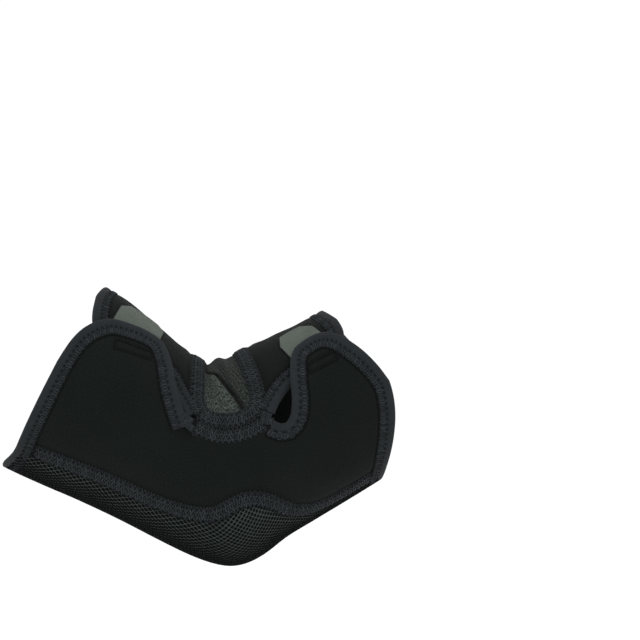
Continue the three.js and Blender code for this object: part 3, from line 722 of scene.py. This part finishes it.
def ribs(p):
    """Small bumps of stitches on the first fold, and ribs on the other."""
    fade = smooth(knit_bound(p), *RIB_FADE)
    turn = math.pi * rib_turns(p)
    if p.x < crease_at(p.y):
        bump = math.sin(turn * 1.5) * math.sin(p.y * CLOTH_Y * math.pi / PURL_PITCH)
        return PURL_HEIGHT * bump * fade
    return RIB_HEIGHT * abs(math.sin(turn)) * fade


def knit_painted_shade(p):
    """Painted shade, 0 to 1: dark between the ribs, darkest in the crease under the first fold, and
    spread from the crease over the ribbed fold, never below a least share there.
    """
    gap = p.x - crease_at(p.y)
    if gap < 0:
        return MOST_FOLD_SHADE * math.exp(-((gap / 0.012) ** 2))
    # The crease's painted shadow spreads wider towards the front.
    reach = 0.045 + 0.06 * (1 - smooth(abs(p.y), 8, 40))
    between = (1 - abs(math.sin(math.pi * rib_turns(p)))) ** 0.8
    return max(math.exp(-((gap / reach) ** 2)), MOST_FOLD_SHADE * between, LEAST_FOLD_SHADE)


knit_cloth, _, _ = cut_cloth(
    knit_outline, [((1, 0), 0.5), ((0, 1), 0.6)], fold_face,
    lambda p: fold_face(p) + KNIT_WALL + ribs(p), knit_painted_shade,
)
knit, knit_shader, chart, along, across = new_cloth("rib_knit", 0.9, 0.03)
stripe = waves(along * 1.05 - across * 0.55, 0.0021)
loops = waves(across * 1.0 + along * 0.3, 0.0011) * waves(along, 0.0009)
fleck = speckle(chart, 0.0011) * 4 - 1.5
shade = fleck * 0.6 + loops * 0.3 + stripe * 0.1
# The colour passes into near-black in the crease and between the ribs: painted shade.
face = with_painted_shade(blended(shade, dyed(6, 8, 8), dyed(82, 90, 84)), shade, dyed(3, 4, 4))
finish_cloth(knit_shader, face, loops + shade, 0.0003)
crook_knit = sew_on("crook_knit_cloth", knit_cloth, knit, "rib_knit", "crook_knit")


# The seams: flat-locked bands that join the panels edge to edge, one down each side of the mesh,
# one round the knit and one on the near panel below it. A dense cover of thread lies on each.
SEAM_SEAT = FOAM_WALL - PRESS + 0.08
BACK_SEAM_WIDTH, CROOK_SEAM_WIDTH, VALLEY_SEAM_WIDTH = 9, 8, 7.5
SEAM_STEP, SEAM_TAPER = 1.4, 5
SEAM_STOP, THREAD_STOP = TAPE_WIDTH - 1.5, 2.2
STITCH = 2.75
TOOTH = 1.9  # there and back of the small teeth along both edges
THREAD, THREAD_SIDES = 0.36, 5
PIT_DEPTH = 0.5
# Columns: from and to across the band as shares of half its width, mm past its edge, lift over
# its seat, phase, there and back, arch and radius of the thread
COVER_ROWS = [
    (0.08, 0.74, 0, 0.45, 0.25, STITCH, 0.15, THREAD),
    (0.66, 1, 0.3, 0.1, 0, TOOTH, 0.1, 0.2),
    (0.36, 0.46, 0, 0.61, 0, STITCH / 2, 0.12, 0.26),
]
MIDDLE_SHARE, MIDDLE_LIFT, MIDDLE_ARCH = 0.3, 0.53, 0.15


def strip(path, section, rise=level, closed=False, flatten=0.0, seat=0.0, pits_and_shade=None):
    """A band that follows a path, with a closed section of (across, lift) corners to its left.

    Over its last flatten mm at each end it thins out to its seat. Its last argument gives how deep the
    needles pull it in, 0 to 1, at a column of the band, a distance across and a lift; that share also
    darkens its colour there as painted shade.
    """
    columns, rows = len(path) - (0 if closed else 1), len(section)
    lengths = distances(path + path[:1]) if closed else distances(path)
    depths = [0.0]
    for a, b in zip(section, section[1:] + section[:1]):
        depths.append(depths[-1] + math.dist(a, b))
    way = ways(path, closed)
    band = bmesh.new()
    bmesh.ops.create_grid(band, x_segments=columns, y_segments=rows, size=1)
    chart = band.loops.layers.uv.new("cloth")
    hollow = band.verts.layers.float.new("painted_shade")
    spots = {}
    for vert in band.verts:
        spots[vert] = round((vert.co.x + 1) / 2 * columns), round((vert.co.y + 1) / 2 * rows)
    for face in band.faces:
        for loop in face.loops:
            i, j = spots[loop.vert]
            loop[chart].uv = (lengths[i] * MM, depths[j] * MM)
    for vert, (i, j) in spots.items():
        across, lift = section[j % rows]
        i %= len(path)
        if flatten:
            end = min(lengths[i], lengths[-1] - lengths[i])
            lift = seat + (lift - seat) * (0.06 + 0.94 * smooth(end, 0, flatten))
        if pits_and_shade:
            # The pits' depth also darkens the band's colour: painted shade in the pits.
            vert[hollow] = pits_and_shade(i, across, lift)
            lift -= PIT_DEPTH * vert[hollow]
        q = beside(path[i], way[i], across)
        vert.co = place(q, rise(q) + lift)
    bmesh.ops.remove_doubles(band, verts=band.verts[:], dist=1e-3)
    open_ends = [edge for edge in band.edges if edge.is_boundary]
    if open_ends:
        bmesh.ops.holes_fill(band, edges=open_ends)
    bmesh.ops.recalc_face_normals(band, faces=band.faces[:])
    return band


def seam_section(width):
    """The band's section: flat below, rounded at both edges and a little hollow down its middle."""
    seat, half = SEAM_SEAT, width / 2
    return [
        (-half, seat - 0.3), (0, seat - 0.3), (half, seat - 0.3), (half + 0.1, seat + 0.1),
        (half * 0.78, seat + 0.22), (half * 0.7, seat + 0.4), (half * 0.4, seat + 0.52),
        (0, seat + 0.5), (-half * 0.4, seat + 0.52), (-half * 0.7, seat + 0.4),
        (-half * 0.78, seat + 0.22), (-half - 0.1, seat + 0.1),
    ]


def thread(bundle, points, ups, radius):
    """Adds a round thread along some points to a mesh. ups are the ways in which the cloth faces."""
    columns, sides = len(points) - 1, THREAD_SIDES
    made = bmesh.ops.create_grid(bundle, x_segments=columns, y_segments=sides, size=1)["verts"]
    chart = bundle.loops.layers.uv.verify()
    spots = {}
    for vert in made:
        spots[vert] = round((vert.co.x + 1) / 2 * columns), round((vert.co.y + 1) / 2 * sides)
    for face in {face for vert in made for face in vert.link_faces}:
        for loop in face.loops:
            i, j = spots[loop.vert]
            loop[chart].uv = (i * 0.35 * MM, j / sides * MM)
    for vert, (i, j) in spots.items():
        run = (points[min(i + 1, columns)] - points[max(i - 1, 0)]).normalized()
        side = run.cross(ups[i]).normalized()
        turn = math.tau * j / sides
        vert.co = points[i] + (side * math.cos(turn) + side.cross(run) * math.sin(turn)) * radius


def zigzag(bundle, path, low, high, seat, rise, phase, pitch, arch, radius):
    """Sews a thread to and fro along a path, between two distances to its left."""
    steps = 8
    lengths = distances(path)
    count = max(1, round(lengths[-1] / pitch)) * steps
    run = evenly(path, lengths[-1] / count)
    points, ups = [], []
    for i, (p, way) in enumerate(zip(run, ways(run))):
        turn = (i / steps + phase) % 1
        across = low + (high - low) * smooth(1 - abs(2 * turn - 1), 0.1, 0.9)
        q = beside(p, way, across)
        hump = math.sin(math.pi * ((2 * turn) % 1))
        points.append(place(q, rise(q) + seat + arch * hump))
        ups.append(slopes(q)[2])
    thread(bundle, points, ups, radius)


def close_threads(bundle):
    bmesh.ops.remove_doubles(bundle, verts=bundle.verts[:], dist=1e-3)
    ends = [edge for edge in bundle.edges if edge.is_boundary]
    bmesh.ops.holes_fill(bundle, edges=ends)
    bmesh.ops.recalc_face_normals(bundle, faces=bundle.faces[:])


def cover_seam(bundle, path, width, rise):
    """The threads of a flat-locked band: teeth over both its edges, and loops down its middle."""
    half = width / 2
    for side in (-1, 1):
        for low, high, past, lift, phase, pitch, arch, radius in COVER_ROWS:
            zigzag(
                bundle, path, side * half * low, side * (half * high + past), SEAM_SEAT + lift,
                rise, phase * side, pitch, arch, radius,
            )
    middle = half * MIDDLE_SHARE
    zigzag(
        bundle, path, -middle, middle, SEAM_SEAT + MIDDLE_LIFT, rise, 0, STITCH, MIDDLE_ARCH, THREAD
    )


seam_tape, seam_shader, chart, along, across = new_cloth("seam_thread", 0.85, 0.02)
needled = waves(along, STITCH * MM)
shade = speckle(chart, 0.004) * 0.5 + needled * 0.3 + speckle(chart, 0.0006) * 0.2
finish_cloth(seam_shader, blended(shade, dyed(5, 6, 7), dyed(20, 23, 25)), needled + shade, 0.0003)
thread_black, thread_shader, chart, along, across = new_cloth("cover_thread", 0.7, 0.02)
twist = waves(along + across * 0.7, 0.0007)
shade = (speckle(chart, 0.0016) * 3 - 1) * 0.6 + twist * 0.4
finish_cloth(thread_shader, blended(shade, dyed(12, 15, 16), dyed(51, 56, 59)), twist, 0.0001)

crook_path = evenly(curve_through(CROOK_SEAM), SEAM_STEP, closed=True)
valley_run = evenly(curve_through(CROOK_SEAM, 14.5, 17.7), SEAM_STEP)
valley_path = offset(valley_run, (CROOK_SEAM_WIDTH + VALLEY_SEAM_WIDTH) / 2 + 2 * CLEARANCE)
near_run = evenly(near_seam, SEAM_STEP, SEAM_STOP, SEAM_STOP)
far_run = evenly(far_seam, SEAM_STEP, SEAM_STOP, SEAM_STOP)
for seam_name, path, width, seam_closed in [
    ("near_back_seam", near_run, BACK_SEAM_WIDTH, False),
    ("far_back_seam", far_run, BACK_SEAM_WIDTH, False),
    ("crook_border", crook_path, CROOK_SEAM_WIDTH, True),
    ("valley_seam", valley_path, VALLEY_SEAM_WIDTH, False),
]:
    rise = flap_rise if seam_name == "valley_seam" else level
    flatten = 0 if seam_closed else SEAM_TAPER
    band = strip(path, seam_section(width), rise, seam_closed, flatten, SEAM_SEAT)
    slot = "binding_tape" if seam_closed else "seam_thread"
    sew_on(seam_name + "_band", band, seam_tape, slot, seam_name)
    bundle = bmesh.new()
    if seam_closed:
        sewn_path = path + path[:1]
    else:
        sewn_path = evenly(path, SEAM_STEP, THREAD_STOP, THREAD_STOP)
    cover_seam(bundle, sewn_path, width, rise)
    close_threads(bundle)
    sew_on(seam_name + "_threads", bundle, thread_black, slot)


# The bindings: a stretch tape folded over every free edge, smooth where it rolls over the edge
# and overlocked along its inner half, round both cuffs and down the four flaps.
NEEDLE_ROW = TAPE_WIDTH * 0.5
TAPE_STITCH = 2.95
STITCH_COLUMNS = 6
PIT_SIZE = 0.72
EDGE_PIT_LENGTH, EDGE_PIT_WIDTH, EDGE_PIT_SHARE = 0.6, 0.7, 0.7
TAPE_SEAT = FOAM_WALL - PRESS
# Columns: from and to across the tape, lift over its seat, phase, arch and radius of the thread
TAPE_ROWS = [
    (NEEDLE_ROW + 0.8, TAPE_WIDTH + 0.1, 0.52, 0, 0.15, 0.28),
    (NEEDLE_ROW + 0.3, TAPE_WIDTH - 0.2, 0.52, 0.5, 0.3, 0.26),
]


def tape_section(wall):
    """The tape's section round a wall: flat on top, rolled over the edge and tucked under."""
    wide = TAPE_WIDTH
    return [
        (wide, wall + 0.05), (wide - 0.05, wall + 0.36), (wide - 0.5, wall + 0.46),
        (wide - 1.2, wall + 0.48), (wide - 1.9, wall + 0.48), (wide - 2.6, wall + 0.48),
        (wide - 3.2, wall + 0.5), (wide - 3.7, wall + 0.56),
        (3.2, wall + 0.68), (2.6, wall + 0.86), (1.8, wall + 1.02), (1, wall + 1.08),
        (0.3, wall + 1.06), (-0.3, wall + 0.85), (-0.7, wall + 0.4), (-0.92, wall - 0.15),
        (-0.95, wall / 2), (-0.9, 0.35), (-0.6, -0.35), (0, -0.7), (1.5, -0.8), (6, -0.72),
        (6, -0.14), (0, -0.12), (-0.3, 0.2), (-0.35, wall / 2), (-0.3, wall - 0.2),
        (0, wall + 0.08), (3, wall + 0.03),
    ]


def needle_pits_and_shade(column, across, lift):
    """How deep the needles pull the tape in at a spot, 0 to 1, on its outer side only, and how dark its
    painted shade is there.
    """
    if lift < TAPE_SEAT + 0.3:
        return 0.0
    turn = column / STITCH_COLUMNS % 1
    along, aside = min(turn, 1 - turn) * TAPE_STITCH, across - NEEDLE_ROW
    row = (along / PIT_SIZE) ** 2 + (aside / PIT_SIZE) ** 2
    along, aside = abs(turn - 0.5) * TAPE_STITCH, across - TAPE_WIDTH
    edge = (along / EDGE_PIT_LENGTH) ** 2 + (aside / EDGE_PIT_WIDTH) ** 2
    return min(1.0, math.exp(-row) + EDGE_PIT_SHARE * math.exp(-edge))


def before(path, t):
    return [p for p in path if p.x <= t]


def after(path, t):
    return [p for p in path if p.x >= t]


tape, tape_shader, chart, along, across = new_cloth("binding_tape", 0.8, 0.03)
weave = waves(along, 0.0009) * waves(across, 0.0009)
shade = speckle(chart, 0.008) * 0.5 + speckle(chart, 0.0007) * 0.3 + weave * 0.2
# The colour passes into near-black in the needle pits: painted shade.
face = with_painted_shade(blended(shade, dyed(20, 23, 25), dyed(40, 44, 47)), shade, dyed(3, 4, 4))
finish_cloth(tape_shader, face, weave + shade, 0.0002)

NEAR_UPPER_JOINT, NEAR_FORE_JOINT, FAR_UPPER_JOINT, FAR_FORE_JOINT = -0.88, 0.97, -0.93, 1.01
FAR_UPPER_END, FAR_FORE_END = -0.205, 0.44
LAP = 0.012  # how far a cuff's tape runs on over its flap's
upper_cuff_path = joined(
    before(near_upper_edge, NEAR_UPPER_JOINT + LAP)[::-1], near_upper_cuff, back_upper_cuff,
    wrapped(far_upper_cuff), wrapped(before(far_upper_edge, FAR_UPPER_JOINT + LAP)),
)
fore_cuff_path = joined(
    wrapped(after(far_fore_edge, FAR_FORE_JOINT - LAP)[::-1]), wrapped(far_fore_cuff[::-1]),
    back_fore_cuff[::-1], near_fore_cuff[::-1], after(near_fore_edge, NEAR_FORE_JOINT - LAP),
)
near_upper_flap = after(near_upper_edge, NEAR_UPPER_JOINT)[::-1]
near_fore_flap = before(near_fore_edge, NEAR_FORE_JOINT)
far_upper_flap = before(after(far_upper_edge, FAR_UPPER_JOINT), FAR_UPPER_END)
far_fore_flap = before(after(far_fore_edge, FAR_FORE_END), FAR_FORE_JOINT)[::-1]
for tape_name, path, rise in [
    ("upper_cuff_binding", upper_cuff_path, flap_rise),
    ("fore_cuff_binding", fore_cuff_path, flap_rise),
    ("near_upper_flap_binding", near_upper_flap, flap_rise),
    ("near_fore_flap_binding", near_fore_flap, flap_rise),
    ("far_upper_flap_binding", far_upper_flap, level),
    ("far_fore_flap_binding", far_fore_flap, level),
]:
    stitches = round(distances(path)[-1] / TAPE_STITCH)
    path = evenly(path, distances(path)[-1] / stitches / STITCH_COLUMNS)
    band = strip(path, tape_section(TAPE_SEAT), rise, pits_and_shade=needle_pits_and_shade)
    sew_on(tape_name + "_tape", band, tape, "binding_tape", tape_name)
    bundle = bmesh.new()
    for low, high, lift, phase, arch, radius in TAPE_ROWS:
        zigzag(bundle, path, low, high, TAPE_SEAT + lift, rise, phase, TAPE_STITCH, arch, radius)
    close_threads(bundle)
    sew_on(tape_name + "_threads", bundle, thread_black, "binding_tape")


# The corner tacks: dense bars of stitches that lock the ends of the flaps' tapes to the border of
# the knit, where the two panels part at each side of the crook.
TACK_HALF, TACK_STEP, TACK_STITCH = 1.7, 0.6, 1.9
TACK_LIFT, TACK_ARCH, TACK_THREAD = 0.7, 0.25, 0.3
TACKS = [
    [(-0.235, 65.5), (-0.2, 67.5), (-0.16, 67.5)],
    [(-0.23, 69), (-0.19, 71), (-0.15, 71.5)],
    [(0.355, 75), (0.395, 77.5), (0.445, 79.5)],
    [(0.365, 71.5), (0.4, 74), (0.435, 76.5)],
]
bundle = bmesh.new()
for tack in TACKS:
    path = evenly(curve_through(tack), TACK_STEP)
    for phase in (0.0, 0.5):
        zigzag(
            bundle, path, -TACK_HALF, TACK_HALF, TAPE_SEAT + TACK_LIFT, flap_rise, phase,
            TACK_STITCH, TACK_ARCH, TACK_THREAD,
        )
close_threads(bundle)
corner_tacks = sew_on("corner_tack_threads", bundle, thread_black, "seam_thread")


# The tab boxes and needle rows: short lock stitches that sink into the foam, one row just inside
# the tape of each flap and of the near cuffs, and a box over the sewn end of each hook tab.
NEEDLE_STITCH, NEEDLE_DIP, NEEDLE_THREAD = 2.4, 0.25, 0.3


def needle_row(bundle, path, rise):
    """A row of stitches end to end, each of which dips into the cloth at both ends."""
    steps = 6
    lengths = distances(path)
    count = max(1, round(lengths[-1] / NEEDLE_STITCH)) * steps
    points, ups = [], []
    for i, p in enumerate(evenly(path, lengths[-1] / count)):
        hump = math.sin(math.pi * (i / steps % 1))
        points.append(place(p, rise(p) + FOAM_WALL - NEEDLE_DIP * (1 - hump)))
        ups.append(slopes(p)[2])
    thread(bundle, points, ups, NEEDLE_THREAD)


needle_black, needle_shader, chart, along, across = new_cloth("needle_thread", 0.75, 0.02)
twist = waves(along + across * 0.7, 0.0007)
finish_cloth(needle_shader, blended(twist, dyed(3, 4, 4), dyed(14, 16, 16)), twist, 0.0001)
bundle = bmesh.new()
for row in near_rows:
    needle_row(bundle, row, flap_rise)
close_threads(bundle)
near_needle_rows = sew_on("near_panel_needle_rows", bundle, needle_black, "seam_thread")
bundle = bmesh.new()
for row in far_rows:
    needle_row(bundle, row, level)
close_threads(bundle)
far_needle_rows = sew_on("far_panel_needle_rows", bundle, needle_black, "seam_thread")


# The hook tabs: two stiff tapes of brushed hook cloth, sewn in under the near flaps' edges. Each
# lies on the far panel with its outer corners cut off, and holds its flap closed.
TAB_SEWN, TAB_CORNER = 1.5, 5
TAB_SEAT = FOAM_WALL + 0.3
# Columns: name, the edge that it is sewn to, the t of its middle, its width, its reach, its lean
TABS = [
    ("upper_hook_tab", near_upper_flap, -0.68, 28, 21.5, 0),
    ("fore_hook_tab", near_fore_flap, 0.83, 23, 18, 0.11),
]


def tab_outline(edge, middle, width, reach, lean):
    """A tab's outline about a point of the flap's edge, which leans along the leg as it goes out."""
    lengths = distances(edge)
    side = edge[0].x > middle
    k = next(i for i, p in enumerate(edge) if (p.x > middle) != side or p.x == middle)
    along, rest = lengths[k], lengths[-1] - lengths[k]

    def run(half):
        return evenly(edge, EDGE_STEP, along - half, rest - half)

    def round_arm(path, length):
        return [
            Vector((p.x + lean * min(length, 0) / reach, p.y + length / slopes(p)[1].length))
            for p in path
        ]

    sewn = round_arm(run(width / 2), TAB_SEWN)
    sides = round_arm(run(width / 2), TAB_CORNER - reach)
    end = round_arm(run(width / 2 - TAB_CORNER), -reach)[::-1]
    return joined(
        sewn, evenly([sewn[-1], sides[-1]], EDGE_STEP)[1:], end,
        evenly([sides[0], sewn[0]], EDGE_STEP)[:-1],
    )


hook, hook_shader, chart, along, across = new_cloth("hook_tab", 0.75, 0.05)
ridges = waves(along, 0.0013)
cross_rows = waves(across, 0.0011)
nap = speckle(chart, 0.0008)
shade = speckle(chart, 0.01) * 0.4 + nap * 0.35 + ridges * cross_rows * 0.25
finish_cloth(
    hook_shader, blended(shade, dyed(52, 58, 53), dyed(92, 99, 92)),
    ridges * 0.5 + cross_rows * 0.5 + nap, 0.00022,
)
for tab_name, edge, middle, width, reach, lean in TABS:
    outline = tab_outline(edge, middle, width, reach, lean)
    cloth, _, _ = cut_cloth(
        outline, squares(1.5), lambda p: TAB_SEAT, lambda p: TAB_SEAT + TAB_WALL
    )
    sew_on(tab_name + "_cloth", cloth, hook, "hook_tab", tab_name)
